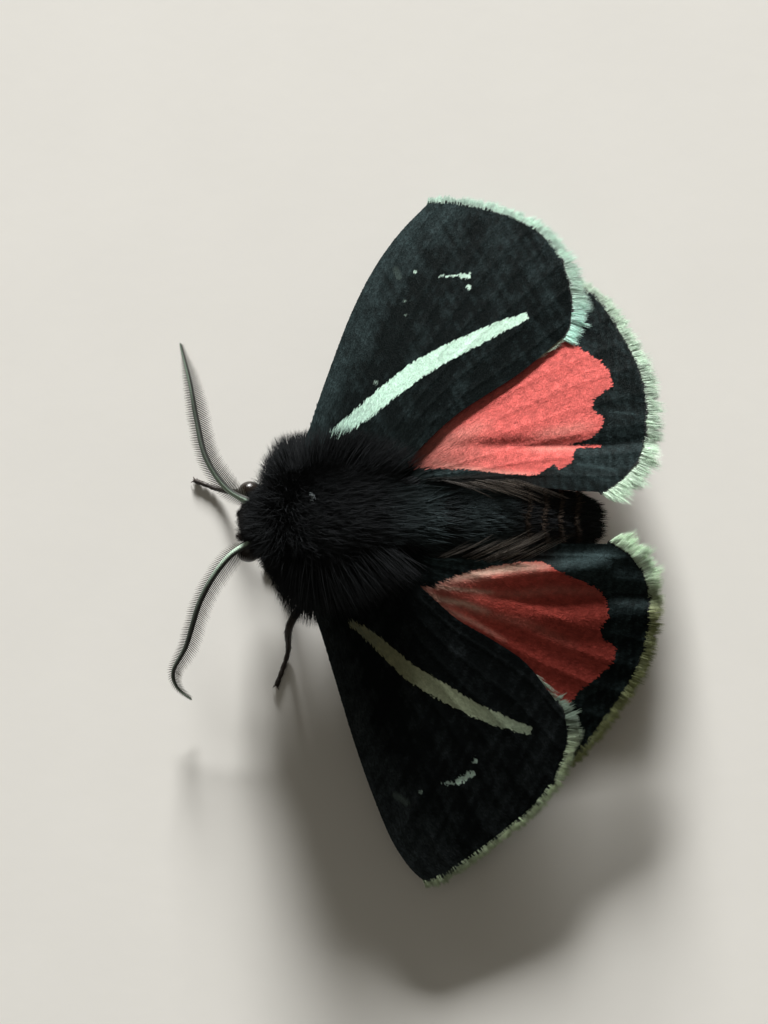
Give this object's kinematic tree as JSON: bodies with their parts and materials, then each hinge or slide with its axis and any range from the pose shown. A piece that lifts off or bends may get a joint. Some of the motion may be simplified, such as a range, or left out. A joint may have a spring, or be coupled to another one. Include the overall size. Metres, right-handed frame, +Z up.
{
  "type": "sonorarctia moth",
  "caption": "Small tiger moth at rest, wings half open: black furred body, pale-streaked dark forewings, red hindwings, feathered feelers.",
  "frame": {"origin": "centre of the bounding box on the plane that the feet stand on", "axes": "+X toward the moth's left wing tip, +Y from head to tail, +Z up out of its back"},
  "size_m": [0.031, 0.0221, 0.0075],
  "materials": {
    "fur": "deep black fur",
    "eye": "glossy dark brown",
    "forewing": "black scales with a blue-grey sheen, a pale streak and fringe",
    "hindwing": "coral red scales with a black border and pale fringe",
    "leg": "dark brown scales",
    "feeler": "black shaft and rays with pale scales at the base"
  },
  "bodies": {
    "root": {"thorax": "fur", "head": "fur", "abdomen": "fur", "eye_left": "eye", "eye_right": "eye", "palp_left": "leg", "palp_right": "leg", "antenna_left": "feeler", "antenna_right": "feeler", "forewing_left": "forewing", "forewing_right": "forewing", "hindwing_left": "hindwing", "hindwing_right": "hindwing", "foreleg_left": "leg", "foreleg_right": "leg", "midleg_left": "leg", "midleg_right": "leg", "hindleg_left": "leg", "hindleg_right": "leg"}
  },
  "joints": []
}
